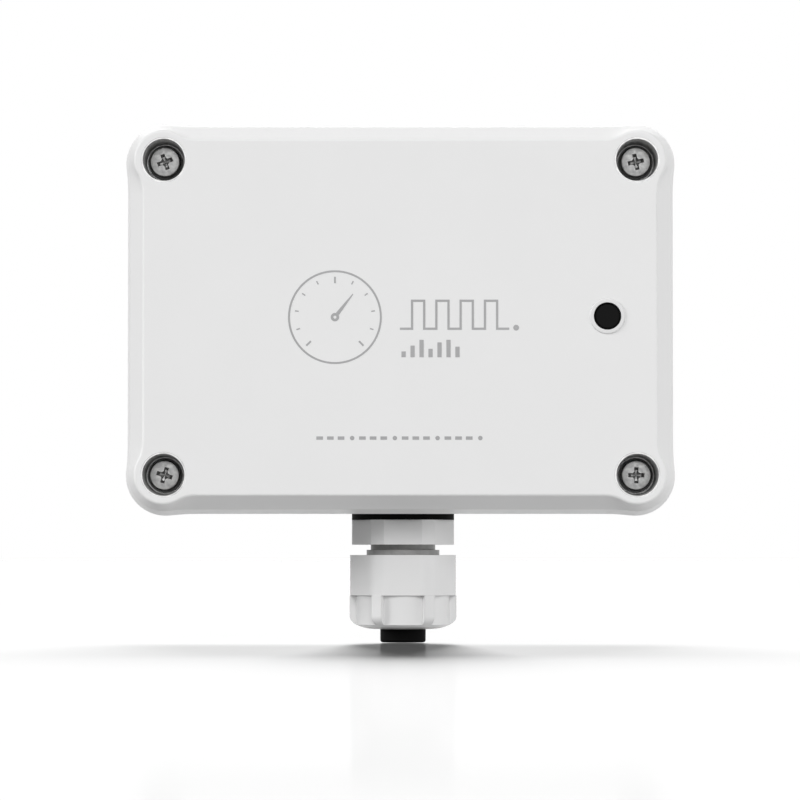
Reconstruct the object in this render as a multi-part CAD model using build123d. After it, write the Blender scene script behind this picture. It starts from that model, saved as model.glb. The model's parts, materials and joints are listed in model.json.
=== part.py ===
from build123d import *
import math
import os

# A battery-powered pulse counter that reports the reading of a utility meter by radio:
# a sealed plastic wall case with a screwed lid, one sealed push button, and one cable
# gland closed by a blanking plug.  Every size is in millimetres.
#
# Each piece is modelled with the case lying on its back: x to the right, y up the wall,
# z out of the wall, and the origin in the middle of the back face.  stand_up turns it
# into the frame it is kept in: +Z up the wall, with the front of the case towards -Y.

# ---- case -------------------------------------------------------------------------
case_width = 105.0
case_height = 75.0
case_depth = 40.0
lid_depth = 10.0            # seam to face
corner_radius = 7.65        # outline corners, concentric with the lid screws
side_relief = 0.35          # the sides between the corners stand back by this much
relief_blend = 45.0         # radius that leads each side out to its corners
side_wall = 3.0
back_wall = 2.5
base_draft = 0.6            # the back is smaller than the seam by this much per side
back_round = 1.0
seam_groove = 0.35          # square groove that runs round the seam

# ---- lid shape ----------------------------------------------------------------------
lid_draft = 0.8             # the chamfer's foot is smaller than the seam, per side
chamfer_run = 2.65
chamfer_drop = 3.7
boss_land = 5.6             # flat ring about each screw, as a radius at the face
boss_blend = 6.6            # hollow radius from the ring to the chamfer's upper edge
face_round = 0.5
lid_plate = 2.6

# ---- seal between base and lid ----------------------------------------------------
tongue_width = 1.2
tongue_height = 2.0
tongue_outer_gap = 0.15
tongue_inner_gap = 0.3
inner_skirt = 1.3
gasket_height = 1.5
gasket_side_gap = 0.15
chamber_round = 3.0         # corners of the sealed chamber

# ---- corner blocks with lid screws and wall screws ---------------------------------
block_width = 24.0
block_height = 13.8
wall_hole_width = 72.0      # wall screw pattern, across
wall_hole_height = 61.0     # wall screw pattern, up
wall_hole_diameter = 4.3
wall_well_diameter = 8.2
wall_well_floor = 6.0
screw_diameter = 3.5
screw_fit = 0.05            # radial clearance of the screw in its boss
screw_grip = 10.0           # length of screw in the boss
screw_tip_room = 2.0
screw_tip_length = 1.2
screw_tip_diameter = 1.75
screw_lid_gap = 0.25        # radial clearance of the screw in the lid
head_diameter = 6.0
head_top_diameter = 5.2
head_height = 2.2
head_side = 0.75            # straight height of the head, below its dome
recess_span = 3.55
recess_arm = 0.85
recess_depth = 1.4
recess_taper = 12.0
screw_turns = (12.0, 20.0, -17.0, 0.0)   # where each cross recess happened to stop
well_mouth_diameter = 8.65
well_floor_diameter = 7.7
well_floor_wall = 1.8
liner_wall = 0.3
liner_below_face = 0.03
ring_height = 0.8
ring_side_gap = 0.25
ring_screw_gap = 0.1

# ---- push button --------------------------------------------------------------------
button_from_right = 13.3
button_up = 0.2
bezel_flange_diameter = 6.8
bezel_flange_height = 0.75
bezel_proud = 0.25
bezel_tube_diameter = 6.2
bezel_length = 7.0
bezel_lip = 1.2
button_diameter = 5.0
button_fit = 0.1
button_below_bezel = 0.25
button_head = 2.4
button_edge = 0.35
stem_diameter = 2.4
stem_fit = 0.1
stem_gap = 0.1              # stem end to switch plunger
o_ring_section = 0.52
o_ring_groove = 0.7
o_ring_room = 0.03
clip_height = 0.5
clip_gap = 0.1              # clip to the bezel's lip, at rest
clip_diameter = 4.2
clip_groove = 0.2           # depth of the clip's groove in the stem
clip_slot = 1.3
spring_wire = 0.35
spring_diameter = 4.5
spring_pitch = 0.8

# ---- cable gland, along its own axis away from the case ------------------------------
gland_x = 0.5
gland_below_seam = 13.0
spot_face_depth = 0.45      # flat sunk in the drafted wall, measured at the seam
spot_face_margin = 0.5
entry_thread_diameter = 15.0
entry_hole_gap = 0.2
entry_length = 8.7
washer_diameter = 19.8
washer_height = 1.5
washer_bore_gap = 0.1
collar_flats = 18.4
collar_corners = 19.8
collar_height = 4.8
neck_step = 0.8             # radial step from the clamp thread down to the neck
neck_height = 1.0
clamp_thread_diameter = 14.1
clamp_shoulder = 1.15       # plain band before the clamp thread
clamp_thread_length = 7.5   # with the band
clamp_thread_pitch = 1.5
clamp_thread_depth = 0.6
clamp_thread_crest = 0.3    # flat width of each ridge
nut_thread_fit = 0.1
nut_gap = 2.0               # collar to dome nut
nut_flats = 18.8
nut_corner_round = 4.0
nut_hex_height = 7.8
nut_ribbed_height = 6.5
nut_barrel_diameter = 18.1
nut_rib_diameter = 20.7
nut_rib_count = 6
nut_rib_half_angle = 6.0
nut_end_flat = 10.6
nut_end_round = 2.5
nut_nose_wall = 1.0
nut_cone_height = 2.4
locknut_flats = 22.0
locknut_height = 4.5
locknut_chamfer = 0.6
locknut_bevel_angle = 60.0  # of the chamfer, from the nut's axis
claw_root_gap = 0.1         # radial step from the thread's root down to the claws
claw_wall = 0.85
claw_end_room = 0.2
claw_count = 10
claw_slot = 1.0
claw_radial_gap = 0.2
seal_ledge = 1.0            # radial step that the seal sits on
seal_fit = 0.1
seal_beyond_claws = 1.4
plug_diameter = 8.8
plug_hole_gap = 0.4
plug_stem_gap = 1.0         # radial clearance of the plug's stem in the gland's bore
plug_stem_fit = 0.05
plug_stem_length = 10.8
plug_out = 2.6              # length showing beyond the dome nut
plug_edge = 0.5
plug_shoulder_gap = 0.1

# ---- circuit board ------------------------------------------------------------------
board_thickness = 1.6
board_side_gap = 1.15
board_block_gap = 0.6
board_corner = 2.0
board_above_floor = 5.0
board_hole_inset = 4.0
standoff_diameter = 6.0
board_screw_diameter = 2.2
board_screw_length = 5.5
board_screw_head = 4.0
board_screw_head_height = 1.5
board_screw_recess_span = 2.4
board_screw_recess_arm = 0.5
board_screw_recess_depth = 0.9

# ---- battery and its holder ---------------------------------------------------------
cell_diameter = 14.5
cell_length = 50.5          # with the raised contact
cell_nub_diameter = 5.5
cell_nub_height = 1.2
cell_edge = 0.6
cell_side_gap = 0.3
holder_rib = 0.9
holder_wall = 1.0
holder_end = 1.2
holder_floor = 1.2
holder_above_axis = 2.9
finger_cut = 17.0           # opening in the holder's side walls, along the cells
holder_from_left = 7.5
holder_from_top = 0.5
contact_plate = 0.4
contact_width = 9.0
cell_spring_length = 2.8
cell_spring_wire = 0.6
cell_spring_diameter = 7.0
cell_spring_pitch = 1.1
cell_spring_gap = 0.05      # spring to cell

# ---- terminal block -----------------------------------------------------------------
pole_count = 4
pole_pitch = 5.0
terminal_depth = 8.4
terminal_height = 10.0
terminal_from_edge = 0.6
terminal_skin = 0.5         # moulding between a cage and the outer faces
cage_width = 3.8
cage_depth = 5.2
cage_height = 5.4
cage_wall = 0.7
cage_top = 1.0
cage_fit = 0.1
cage_travel = 1.8
cage_room = 0.1
wire_mouth_width = 3.2
wire_mouth_height = 3.4
clamp_screw_diameter = 2.9
clamp_screw_fit = 0.05
clamp_head_diameter = 3.6
clamp_head_fit = 0.1
clamp_head_height = 1.5
clamp_slot_width = 0.7
clamp_slot_depth = 0.8
pin_plate_thickness = 0.6
pin_plate_width = 2.0
pin_side = 0.9
pin_tail = 2.6
pin_hole_gap = 0.2

# ---- other board parts --------------------------------------------------------------
switch_side = 6.0
switch_body_height = 3.5
switch_cover = 0.3
switch_height = 17.0
switch_plunger_diameter = 3.4
switch_fit = 0.1
switch_flange_diameter = 4.2
switch_flange_height = 1.2
switch_pocket_depth = 2.0
switch_flange_gap = 0.1
radio_width = 16.0
radio_height = 24.0
radio_board = 0.8
radio_from_button = 14.0
radio_up = 8.0
shield_width = 14.4
shield_height = 17.0
shield_depth = 2.2
shield_wall = 0.2
shield_from_edge = 0.8      # from the radio board's lower edge
antenna_diameter = 5.0
antenna_wire = 0.8
antenna_pitch = 1.25
antenna_length = 9.2
antenna_from_button = 0.5
antenna_up = 11.5
controller_side = 7.0
controller_height = 1.2
controller_standing = 0.15
controller_lead_width = 0.25
controller_lead_reach = 1.0
controller_lead_pitch = 0.8
controller_leads_per_side = 8
controller_from_terminal = 21.5
crystal_length = 9.0
crystal_width = 4.0
crystal_height = 3.0
crystal_round = 0.5
crystal_from_controller = 10.5
capacitor_diameter = 10.0
capacitor_height = 12.5
capacitor_bead = 0.35
capacitor_bead_up = 1.5
capacitor_from_terminal = 21.5
header_pitch = 2.54
header_columns = 3
header_rows = 2
header_body_height = 2.5
header_pin_side = 0.64
header_pin_height = 8.5
header_from_capacitor = 12.0
low_row_from_edge = 6.5     # centre line of the parts along the board's lower edge
chip_size = (1.6, 0.8, 0.6)
chip_pitch = 3.0
chip_count = 6
chip_row_from_part = 1.0

# ---- places that follow from the sizes above ------------------------------------------
half_width = case_width / 2
half_height = case_height / 2
seam_z = case_depth - lid_depth
chamfer_foot_z = case_depth - chamfer_drop
lid_inner_z = case_depth - lid_plate
screw_inset = corner_radius
screw_x = half_width - screw_inset
screw_y = half_height - screw_inset
corner_signs = ((1, 1), (-1, 1), (-1, -1), (1, -1))

wall_inset = side_relief + side_wall
chamber_half_width = half_width - wall_inset
chamber_half_height = half_height - wall_inset
block_edge_x = half_width - block_width
block_edge_y = half_height - block_height

well_floor_z = seam_z + well_floor_wall
liner_floor_z = well_floor_z + liner_wall
head_seat_z = liner_floor_z + ring_height
head_top_z = head_seat_z + head_height
screw_tip_z = seam_z - screw_grip

button_x = half_width - button_from_right
bezel_top_z = case_depth + bezel_proud
bezel_bottom_z = bezel_top_z - bezel_length
bezel_lip_z = bezel_bottom_z + bezel_lip
button_top_z = bezel_top_z - button_below_bezel
button_under_z = button_top_z - button_head

board_bottom_z = back_wall + board_above_floor
board_top_z = board_bottom_z + board_thickness
board_half_width = chamber_half_width - board_side_gap
board_half_height = block_edge_y - board_block_gap
board_hole_x = board_half_width - board_hole_inset
board_hole_y = board_half_height - board_hole_inset

gland_z = seam_z - gland_below_seam
spot_face_y = -(half_height - side_relief - spot_face_depth)
gland_plane = Plane(origin=(gland_x, spot_face_y, gland_z), x_dir=(1, 0, 0), z_dir=(0, -1, 0))
gland_wall = abs(spot_face_y) - chamber_half_height
collar_end = washer_height + collar_height
neck_diameter = clamp_thread_diameter - 2 * neck_step
claw_diameter = clamp_thread_diameter - 2 * (clamp_thread_depth + claw_root_gap)
claw_bore = claw_diameter - 2 * claw_wall
gland_bore = claw_bore - 2 * seal_ledge
plug_stem_diameter = gland_bore - 2 * plug_stem_gap
clamp_thread_start = collar_end + neck_height
clamp_thread_end = clamp_thread_start + clamp_thread_length
nut_start = collar_end + nut_gap
nut_hex_end = nut_start + nut_hex_height
nut_end = nut_hex_end + nut_ribbed_height
nut_cone_start = nut_end - nut_nose_wall - nut_cone_height
claw_end = nut_cone_start - claw_end_room
seal_end = claw_end + seal_beyond_claws
seal_start = clamp_thread_start + neck_height
plug_shoulder = seal_end + plug_shoulder_gap

cell_pitch = cell_diameter + 2 * cell_side_gap + holder_rib
cell_axis_z = board_top_z + holder_floor + cell_side_gap + cell_diameter / 2
holder_inner_length = cell_length + cell_spring_length + 2 * contact_plate
holder_length = holder_inner_length + 2 * holder_end
holder_width = 2 * (cell_diameter + 2 * cell_side_gap + holder_wall) + holder_rib
holder_x = -board_half_width + holder_from_left + holder_length / 2
holder_y = board_half_height - holder_from_top - holder_width / 2
holder_top_z = cell_axis_z + holder_above_axis
cell_places = ((holder_y + cell_pitch / 2, -1), (holder_y - cell_pitch / 2, 1))

terminal_width = pole_count * pole_pitch
terminal_y = -board_half_height + terminal_from_edge + terminal_depth / 2
cage_floor_z = board_top_z + cage_wall
cage_ceiling_z = cage_floor_z + cage_height + cage_travel + cage_room
pin_plate_z = cage_floor_z + cage_height - cage_top - pin_plate_thickness - cage_room
clamp_head_z = board_top_z + terminal_height - clamp_head_height
pole_places = [gland_x + (i - (pole_count - 1) / 2) * pole_pitch for i in range(pole_count)]

switch_top_z = board_top_z + switch_height
stem_end_z = switch_top_z + stem_gap
low_row_y = -board_half_height + low_row_from_edge
radio_x = button_x - radio_from_button
controller_x = gland_x - controller_from_terminal
capacitor_x = gland_x + capacitor_from_terminal

stand_up = Rot(90, 0, 0)


# ---- shared shapes -------------------------------------------------------------------
def block(width, height, depth, x=0.0, y=0.0, z=0.0):
    """A box centred on x and y that stands on z."""
    box = Box(width, height, depth, align=(Align.CENTER, Align.CENTER, Align.MIN))
    return Pos(x, y, z) * box


def disc(diameter, depth, x=0.0, y=0.0, z=0.0):
    """A cylinder about the z direction that stands on z."""
    align = (Align.CENTER, Align.CENTER, Align.MIN)
    return Pos(x, y, z) * Cylinder(diameter / 2, depth, align=align)


def ring(outer, inner, depth, x=0.0, y=0.0, z=0.0):
    """A flat ring about the z direction that stands on z."""
    return disc(outer, depth, x, y, z) - disc(inner, depth, x, y, z)


def cone(low_diameter, high_diameter, depth, x=0.0, y=0.0, z=0.0):
    """A cone frustum about the z direction that stands on z."""
    align = (Align.CENTER, Align.CENTER, Align.MIN)
    return Pos(x, y, z) * Cone(low_diameter / 2, high_diameter / 2, depth, align=align)


def prism(sketch, low, high):
    """A straight prism on the sketch from z = low to z = high."""
    return extrude(Pos(0, 0, low) * sketch, amount=high - low)


def coil(pitch, length, diameter, wire):
    """A wire coil about the z direction, whose overall length includes the wire."""
    path = Helix(pitch, length - wire, (diameter - wire) / 2)
    start = Plane(origin=path @ 0, z_dir=path % 0)
    return Pos(0, 0, wire / 2) * sweep(start * Circle(wire / 2), path=path, is_frenet=True)


def hexagon(flats):
    """A hexagon with two flats facing the y direction."""
    return RegularPolygon(flats / 2, 6, major_radius=False)


def arc_about(centre, start, end):
    """The shorter arc from start to end about a centre."""
    middle = ((start - centre) + (end - centre)).normalized() * (start - centre).length
    return ThreePointArc(start, centre + middle, end)


def case_outline(side_inset, corner, blend):
    """The case's outline: straight sides, led by hollow blends to arcs about the screws."""
    side = screw_inset - side_inset
    reach = math.sqrt((corner - side) * (corner + side + 2 * blend))
    share = corner / (corner + blend)
    hollow_a = Vector(side + blend, -reach)
    hollow_b = Vector(-reach, side + blend)
    points = [Vector(side, -reach), hollow_a * share, hollow_b * share, Vector(-reach, side)]
    edges = []
    corners = []
    for i, (sx, sy) in enumerate(corner_signs):
        screw = Vector(sx * screw_x, sy * screw_y)
        first, second = [screw + v.rotate(Axis.Z, 90 * i) for v in (hollow_a, hollow_b)]
        corners.append((screw, first, second, [screw + p.rotate(Axis.Z, 90 * i) for p in points]))
    for i, (screw, first, second, at) in enumerate(corners):
        following = corners[(i + 1) % len(corners)][3]
        edges.append(arc_about(first, at[0], at[1]))
        edges.append(arc_about(screw, at[1], at[2]))
        edges.append(arc_about(second, at[2], at[3]))
        edges.append(Line(at[3], following[0]))
    return make_face(edges)


def corners_at(outline, places):
    """The outline's corner points whose distances from the middle are listed in places."""
    near = 0.01
    return [v for v in outline.vertices()
            if any(abs(abs(v.X) - x) < near and abs(abs(v.Y) - y) < near for x, y in places)]


def chamber_outline(grow):
    """The sealed chamber, which steps in around the corner blocks, grown by an offset."""
    outline = Rectangle(2 * (chamber_half_width + grow), 2 * (chamber_half_height + grow))
    for sx, sy in corner_signs:
        corner = Rectangle(block_width, block_height)
        outline -= Pos(sx * (block_edge_x + grow + block_width / 2),
                       sy * (block_edge_y + grow + block_height / 2)) * corner
    at_blocks = (block_edge_x + grow, block_edge_y + grow)
    outline = fillet(corners_at(outline, [at_blocks]), chamber_round - grow)
    at_walls = [(chamber_half_width + grow, at_blocks[1]), (at_blocks[0], chamber_half_height + grow)]
    return fillet(corners_at(outline, at_walls), chamber_round + grow)


def at_corners(shape, x, y):
    """Four copies of a shape, one in each corner."""
    copies = Part()
    for sx, sy in corner_signs:
        copies += Pos(sx * x, sy * y, 0) * shape
    return copies


# ---- case ----------------------------------------------------------------------------
def enclosure_base():
    seam = case_outline(side_relief, corner_radius, relief_blend)
    angle = math.degrees(math.atan(base_draft / seam_z))
    shell = extrude(Pos(0, 0, seam_z) * seam, amount=seam_z, dir=(0, 0, -1), taper=angle)
    back_edges = shell.faces().sort_by(Axis.Z)[0].edges()
    shell = fillet(back_edges, back_round)
    groove_floor = case_outline(side_relief + seam_groove, corner_radius - seam_groove,
                                relief_blend + seam_groove)
    shell -= prism(seam - groove_floor, seam_z - seam_groove, seam_z)
    tongue_top = seam_z + tongue_height
    shell += prism(chamber_outline(tongue_width), seam_z, tongue_top)
    shell -= prism(chamber_outline(0.0), back_wall, tongue_top)
    posts = disc(standoff_diameter, board_above_floor, z=back_wall)
    posts -= disc(board_screw_diameter, board_above_floor, z=back_wall)
    shell += at_corners(posts, board_hole_x, board_hole_y)
    boss_bore = screw_diameter + 2 * screw_fit
    boss_depth = screw_grip + screw_tip_room
    shell -= at_corners(disc(boss_bore, boss_depth, z=seam_z - boss_depth), screw_x, screw_y)
    fixing = disc(wall_hole_diameter, wall_well_floor)
    fixing += disc(wall_well_diameter, seam_z - wall_well_floor, z=wall_well_floor)
    shell -= at_corners(fixing, wall_hole_width / 2, wall_hole_height / 2)
    spot = disc(washer_diameter + 2 * spot_face_margin, spot_face_depth + base_draft)
    entry = disc(entry_thread_diameter + 2 * entry_hole_gap, 3 * side_wall, z=-2 * side_wall)
    return shell - gland_plane.location * (spot + entry)


def lid_blank():
    seam = case_outline(side_relief, corner_radius, relief_blend)
    foot = case_outline(side_relief + lid_draft, corner_radius - lid_draft,
                        relief_blend + lid_draft)
    face = case_outline(side_relief + lid_draft + chamfer_run, boss_land, boss_blend)
    skirt_height = chamfer_foot_z - seam_z
    angle = math.degrees(math.atan(lid_draft / skirt_height))
    skirt = extrude(Pos(0, 0, seam_z) * seam, amount=skirt_height, taper=angle)
    crown = loft([Pos(0, 0, chamfer_foot_z) * foot, Pos(0, 0, case_depth) * face], ruled=True)
    face_edges = crown.faces().sort_by(Axis.Z)[-1].edges()
    return skirt + fillet(face_edges, face_round)


def screw_well():
    depth = case_depth - well_floor_z
    well = cone(well_floor_diameter, well_mouth_diameter, depth, z=well_floor_z)
    through = disc(screw_diameter + 2 * screw_lid_gap, well_floor_wall, z=seam_z)
    return well + through


def enclosure_lid():
    lid = lid_blank()
    skirt_outline = chamber_outline(-tongue_inner_gap - inner_skirt)
    lid -= prism(skirt_outline, seam_z, lid_inner_z)
    groove = chamber_outline(tongue_width + tongue_outer_gap) - chamber_outline(-tongue_inner_gap)
    lid -= prism(groove, seam_z, seam_z + tongue_height + gasket_height)
    lid -= at_corners(screw_well(), screw_x, screw_y)
    seat_depth = bezel_flange_height - bezel_proud
    lid -= disc(bezel_flange_diameter, seat_depth, button_x, button_up, case_depth - seat_depth)
    return lid - disc(bezel_tube_diameter, lid_plate, button_x, button_up, lid_inner_z)


def lid_gasket():
    outer = chamber_outline(tongue_width + tongue_outer_gap - gasket_side_gap)
    inner = chamber_outline(gasket_side_gap - tongue_inner_gap)
    low = seam_z + tongue_height
    return prism(outer - inner, low, low + gasket_height)


def well_liners():
    height = case_depth - liner_below_face - well_floor_z
    slope = (well_mouth_diameter - well_floor_diameter) / (case_depth - well_floor_z)
    top_diameter = well_floor_diameter + slope * height
    thickness = 2 * liner_wall
    liner = cone(well_floor_diameter, top_diameter, height, z=well_floor_z)
    liner -= cone(well_floor_diameter - thickness, top_diameter - thickness, height,
                  z=liner_floor_z)
    liner -= disc(screw_diameter + 2 * screw_lid_gap, liner_wall, z=well_floor_z)
    return at_corners(liner, screw_x, screw_y)


def lid_screw(turn):
    """A pan-head screw on the z axis, at its tightened height."""
    shank_length = head_seat_z - screw_tip_z
    radius = head_diameter / 2
    top = head_top_diameter / 2
    dome_z = head_seat_z + head_side
    profile = Polyline((0, head_seat_z), (radius, head_seat_z), (radius, dome_z))
    profile += EllipticalCenterArc((top, dome_z), radius - top, head_top_z - dome_z, arc_size=90)
    profile += Polyline((top, head_top_z), (0, head_top_z), (0, head_seat_z))
    head = revolve(Plane.XZ * make_face(profile.edges()), Axis.Z)
    screw = head + disc(screw_diameter, shank_length - screw_tip_length,
                        z=screw_tip_z + screw_tip_length)
    screw += cone(screw_tip_diameter, screw_diameter, screw_tip_length, z=screw_tip_z)
    cross = Rectangle(recess_span, recess_arm) + Rectangle(recess_arm, recess_span)
    cross = Rot(0, 0, turn) * cross
    return screw - extrude(Pos(0, 0, head_top_z) * cross, amount=recess_depth,
                           dir=(0, 0, -1), taper=recess_taper)


def sealing_ring():
    outer = well_floor_diameter - 2 * liner_wall - 2 * ring_side_gap
    inner = screw_diameter + 2 * ring_screw_gap
    return ring(outer, inner, ring_height, z=liner_floor_z)


# ---- push button ---------------------------------------------------------------------
def button_bezel():
    bezel = disc(bezel_tube_diameter, bezel_length, z=bezel_bottom_z)
    bezel += disc(bezel_flange_diameter, bezel_flange_height, z=bezel_top_z - bezel_flange_height)
    bezel -= disc(button_diameter + 2 * button_fit, bezel_length, z=bezel_lip_z)
    bezel -= disc(stem_diameter + 2 * stem_fit, bezel_lip, z=bezel_bottom_z)
    rim = bezel.edges().filter_by(GeomType.CIRCLE).group_by(Axis.Z)[-1].sort_by(SortBy.RADIUS)[-1]
    return fillet(rim, bezel_proud)


def clip_groove_z():
    return bezel_bottom_z - clip_gap - clip_height


def button_cap():
    head = disc(button_diameter, button_head, z=button_under_z)
    head = chamfer(head.edges().group_by(Axis.Z)[-1], button_edge)
    groove_z = button_under_z + button_head / 2 - o_ring_groove / 2
    groove_floor = button_diameter + button_fit - 2 * (o_ring_section + o_ring_room)
    head -= ring(button_diameter, groove_floor, o_ring_groove, z=groove_z)
    stem = disc(stem_diameter, button_under_z - stem_end_z, z=stem_end_z)
    stem -= ring(stem_diameter, stem_diameter - 2 * clip_groove, clip_height, z=clip_groove_z())
    return head + stem


def button_seal():
    outer = button_diameter / 2 + button_fit / 2
    middle = outer - o_ring_section / 2
    return Pos(0, 0, button_under_z + button_head / 2) * Torus(middle, o_ring_section / 2)


def button_clip():
    clip = ring(clip_diameter, stem_diameter - 2 * clip_groove, clip_height, z=clip_groove_z())
    return clip - block(clip_diameter, clip_slot, clip_height, clip_diameter / 2, 0, clip_groove_z())


def button_spring():
    length = button_under_z - bezel_lip_z
    return Pos(0, 0, bezel_lip_z) * coil(spring_pitch, length, spring_diameter, spring_wire)


# ---- cable gland, along its own axis -------------------------------------------------
def threaded_rod(start, end):
    """A rod whose thread is turned as a row of sharp ridges."""
    crest = clamp_thread_diameter / 2
    root = crest - clamp_thread_depth
    ridge_count = int((end - start) / clamp_thread_pitch)
    lead = (end - start - ridge_count * clamp_thread_pitch) / 2
    points = [(0, start), (root, start)]
    for i in range(ridge_count):
        foot = start + lead + i * clamp_thread_pitch
        points.append((root, foot))
        points.append((crest, foot + (clamp_thread_pitch - clamp_thread_crest) / 2))
        points.append((crest, foot + (clamp_thread_pitch + clamp_thread_crest) / 2))
    points += [(root, end - lead), (root, end), (0, end)]
    unique = [p for i, p in enumerate(points) if i == 0 or p != points[i - 1]]
    return revolve(Plane.XZ * make_face(Polyline(*unique, close=True)), Axis.Z)


def gland_body():
    body = prism(hexagon(collar_flats) & Circle(collar_corners / 2), washer_height, collar_end)
    body += disc(entry_thread_diameter, entry_length + washer_height, z=-entry_length)
    body += disc(neck_diameter, neck_height, z=collar_end)
    body += disc(clamp_thread_diameter, clamp_shoulder, z=clamp_thread_start)
    body += threaded_rod(clamp_thread_start + clamp_shoulder, clamp_thread_end)
    body += disc(claw_diameter, claw_end - clamp_thread_end, z=clamp_thread_end)
    body -= disc(gland_bore, entry_length + claw_end, z=-entry_length)
    body -= disc(claw_bore, claw_end - seal_start, z=seal_start)
    slot_start = clamp_thread_end + claw_end_room
    for i in range(claw_count):
        slot = block(claw_diameter, claw_slot, claw_end - slot_start, claw_diameter / 2, 0, slot_start)
        body -= Rot(0, 0, i * 360 / claw_count) * slot
    return body


def gland_washer():
    return ring(washer_diameter, entry_thread_diameter + 2 * washer_bore_gap, washer_height)


def gland_locknut():
    nut = prism(hexagon(locknut_flats), -gland_wall - locknut_height, -gland_wall)
    narrow = locknut_flats - 2 * locknut_chamfer
    spread = 2 * locknut_height * math.tan(math.radians(locknut_bevel_angle))
    nut &= cone(narrow, narrow + spread, locknut_height, z=-gland_wall - locknut_height)
    return nut - disc(entry_thread_diameter, locknut_height, z=-gland_wall - locknut_height)


def nut_skirt():
    """The ribbed end of the dome nut: a barrel with a rib on each corner, rounded over."""
    outline = Circle(nut_barrel_diameter / 2)
    reach = nut_rib_diameter / 2
    half_width_at_rim = reach * math.tan(math.radians(nut_rib_half_angle))
    wedge = make_face(Polyline((0, 0), (reach, -half_width_at_rim), (reach, half_width_at_rim),
                               close=True))
    for i in range(nut_rib_count):
        outline += Rot(0, 0, i * 360 / nut_rib_count) * wedge
    outline &= Circle(reach)
    bulk = prism(outline, nut_hex_end, nut_end)
    flat = nut_end_flat / 2
    round_z = nut_end - nut_end_round
    dome = Polyline((0, nut_hex_end), (reach, nut_hex_end), (reach, round_z))
    dome += EllipticalCenterArc((flat, round_z), reach - flat, nut_end_round, arc_size=90)
    dome += Polyline((flat, nut_end), (0, nut_end), (0, nut_hex_end))
    return bulk & revolve(Plane.XZ * make_face(dome.edges()), Axis.Z)


def gland_dome_nut():
    hexagonal = hexagon(nut_flats)
    hexagonal = fillet(hexagonal.vertices(), nut_corner_round)
    nut = prism(hexagonal, nut_start, nut_hex_end) + nut_skirt()
    thread_bore = clamp_thread_diameter + 2 * nut_thread_fit
    nut -= disc(thread_bore, clamp_thread_end + claw_end_room - nut_start, z=nut_start)
    claw_bore_in_nut = claw_diameter + 2 * claw_radial_gap + 2 * nut_thread_fit
    nut -= disc(claw_bore_in_nut, nut_cone_start - clamp_thread_end, z=clamp_thread_end)
    nose_bore = plug_diameter + 2 * plug_hole_gap
    nut -= cone(claw_bore_in_nut, nose_bore, nut_cone_height, z=nut_cone_start)
    return nut - disc(nose_bore, nut_nose_wall, z=nut_end - nut_nose_wall)


def gland_seal():
    bore = plug_stem_diameter + 2 * plug_stem_fit
    return ring(claw_bore - 2 * seal_fit, bore, seal_end - seal_start, z=seal_start)


def blanking_plug():
    head = disc(plug_diameter, nut_end + plug_out - plug_shoulder, z=plug_shoulder)
    head = fillet(head.edges().group_by(Axis.Z)[-1], plug_edge)
    return head + disc(plug_stem_diameter, plug_stem_length, z=plug_shoulder - plug_stem_length)


# ---- circuit board -------------------------------------------------------------------
def circuit_board():
    outline = Rectangle(2 * board_half_width, 2 * board_half_height)
    outline = fillet(outline.vertices(), board_corner)
    board = prism(outline, board_bottom_z, board_top_z)
    hole = disc(board_screw_diameter, board_thickness, z=board_bottom_z)
    board -= at_corners(hole, board_hole_x, board_hole_y)
    for x in pole_places:
        board -= disc(pin_side * math.sqrt(2) + pin_hole_gap, board_thickness, x, pin_y(),
                      board_bottom_z)
    return board


def board_screws():
    shank = disc(board_screw_diameter, board_screw_length, z=board_top_z - board_screw_length)
    head = disc(board_screw_head, board_screw_head_height, z=board_top_z)
    head = fillet(head.edges().group_by(Axis.Z)[-1], board_screw_head_height / 2)
    cross = Rectangle(board_screw_recess_span, board_screw_recess_arm)
    cross += Rectangle(board_screw_recess_arm, board_screw_recess_span)
    head_end_z = board_top_z + board_screw_head_height
    head -= prism(cross, head_end_z - board_screw_recess_depth, head_end_z)
    return at_corners(shank + head, board_hole_x, board_hole_y)


# ---- battery --------------------------------------------------------------------------
def battery_holder():
    height = holder_top_z - board_top_z
    holder = block(holder_length, holder_width, height, holder_x, holder_y, board_top_z)
    bay = block(holder_inner_length, cell_diameter + 2 * cell_side_gap, height,
                holder_x, 0, board_top_z + holder_floor)
    for y, _ in cell_places:
        holder -= Pos(0, y, 0) * bay
    finger = block(finger_cut, holder_width, holder_above_axis,
                   holder_x, holder_y, cell_axis_z)
    return holder - finger


def battery_cell(y, direction):
    """A cell along x whose raised contact points to the side given by direction."""
    can = disc(cell_diameter, cell_length - cell_nub_height)
    can = fillet(can.edges(), cell_edge)
    cell = can + disc(cell_nub_diameter, cell_nub_height, z=cell_length - cell_nub_height)
    end = holder_x + direction * (holder_inner_length / 2 - contact_plate)
    return Pos(end - direction * cell_length, y, cell_axis_z) * Rot(0, direction * 90, 0) * cell


def battery_contacts():
    plates = Part()
    height = holder_top_z - board_top_z - holder_floor
    for y, _ in cell_places:
        for side in (-1, 1):
            x = holder_x + side * (holder_inner_length - contact_plate) / 2
            plates += block(contact_plate, contact_width, height, x, y, board_top_z + holder_floor)
    return plates


def battery_springs():
    springs = Part()
    for y, direction in cell_places:
        spring = coil(cell_spring_pitch, cell_spring_length - cell_spring_gap,
                      cell_spring_diameter, cell_spring_wire)
        x = holder_x - direction * (holder_inner_length / 2 - contact_plate)
        springs += Pos(x, y, cell_axis_z) * Rot(0, direction * 90, 0) * spring
    return springs


# ---- terminal block --------------------------------------------------------------------
def cage_y():
    return terminal_y - terminal_depth / 2 + terminal_skin + cage_fit + cage_depth / 2


def pin_y():
    return terminal_y + terminal_depth / 2 - terminal_skin - pin_side / 2


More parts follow.
